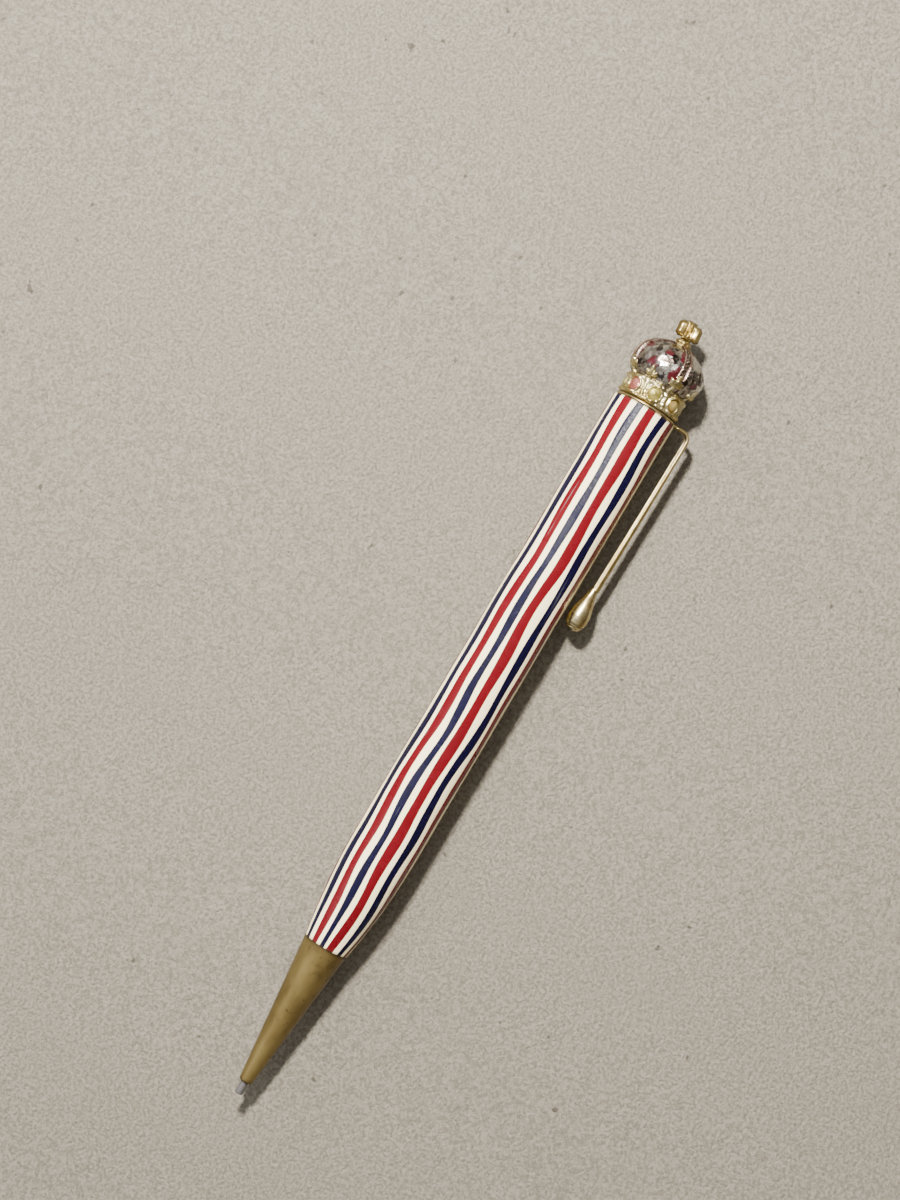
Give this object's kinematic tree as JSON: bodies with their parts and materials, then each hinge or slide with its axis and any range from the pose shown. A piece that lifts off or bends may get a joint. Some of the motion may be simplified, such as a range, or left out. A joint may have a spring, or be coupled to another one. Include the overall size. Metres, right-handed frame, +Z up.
{
  "type": "lead holder",
  "caption": "Twist-action propelling pencil with a striped barrel, a tapered metal nose, a sprung pocket clip and a pull-off crown finial.",
  "frame": {"origin": "on the pencil's axis, at the middle of the barrel's cylindrical stretch", "axes": "+X along the pencil from the lead to the crown, +Z up as it lies on a table, the pocket clip on the -Y side and 9 degrees below the horizontal"},
  "size_m": [0.1295, 0.0145, 0.0114],
  "materials": {
    "striped_barrel": "glossy cream white with lengthwise stripes of deep red and navy in turn",
    "nose_brass": "aged brass, dull olive with fine dark specks and a brighter streak",
    "mechanism_brass": "plain turned brass",
    "mechanism_steel": "plain wire and strip",
    "graphite": "dark grey, with a slight sheen",
    "clip_gilt": "pale gilt, polished on its ridge",
    "crown_gilt": "pale gilt, grainy, with dark dirt in its hollows",
    "cap_enamel": "silver plate with worn dark red enamel",
    "rose_glass": "cloudy pink",
    "citrine_glass": "cloudy yellow green",
    "amber_glass": "cloudy golden brown"
  },
  "bodies": {
    "barrel": {"barrel": "striped_barrel", "front_bush": "mechanism_brass", "jacket_tube": "mechanism_brass", "feed_spiral": "mechanism_steel", "rear_bearing": "mechanism_brass", "end_disc": "mechanism_brass", "spare_leads": "graphite", "tail_ferrule": "mechanism_brass", "clip_ring": "clip_gilt"},
    "nose": {"nose_cone": "nose_brass", "tip_sleeve": "mechanism_brass", "lead_tube": "mechanism_brass", "nose_bush": "mechanism_brass", "guide_tube": "mechanism_brass", "retaining_collar": "mechanism_brass", "guide_plug": "mechanism_brass"},
    "feed": {"lead": "graphite", "lead_chuck": "mechanism_brass", "push_rod": "mechanism_steel", "lead_carrier": "mechanism_brass", "carrier_pin": "mechanism_steel"},
    "clip": {"clip_arm": "clip_gilt", "clip_ball": "clip_gilt"},
    "crown": {"crown_cap": "cap_enamel", "crown_stem": "mechanism_brass", "crown_circlet": "crown_gilt", "rose_stones": "rose_glass", "citrine_stones": "citrine_glass", "amber_stones": "amber_glass", "crown_arches": "crown_gilt", "crown_orb": "crown_gilt", "crown_cross": "crown_gilt"}
  },
  "joints": [
    {"name": "nose_twist", "type": "hinge", "parent": "barrel", "child": "nose", "pos_m": [-0.0536, 0, 0], "axis": [-1, 0, 0], "range_deg": [-1441, 2881]},
    {"name": "lead_feed", "type": "slide", "parent": "nose", "child": "feed", "axis": [-1, 0, 0], "range_m": [-0.0096, 0.0192]},
    {"name": "clip_flex", "type": "hinge", "parent": "barrel", "child": "clip", "pos_m": [0.03678, -0.00553, -0.00088], "axis": [0, -0.1564, 0.9877], "range_deg": [-1, 4], "stiffness_Nm_per_rad": 0.3},
    {"name": "crown_pull", "type": "slide", "parent": "barrel", "child": "crown", "axis": [1, 0, 0], "range_m": [0, 0.01]}
  ],
  "couplings": [
    {"joint": "nose_twist", "follows": "lead_feed", "rad_per_m": 2618}
  ]
}
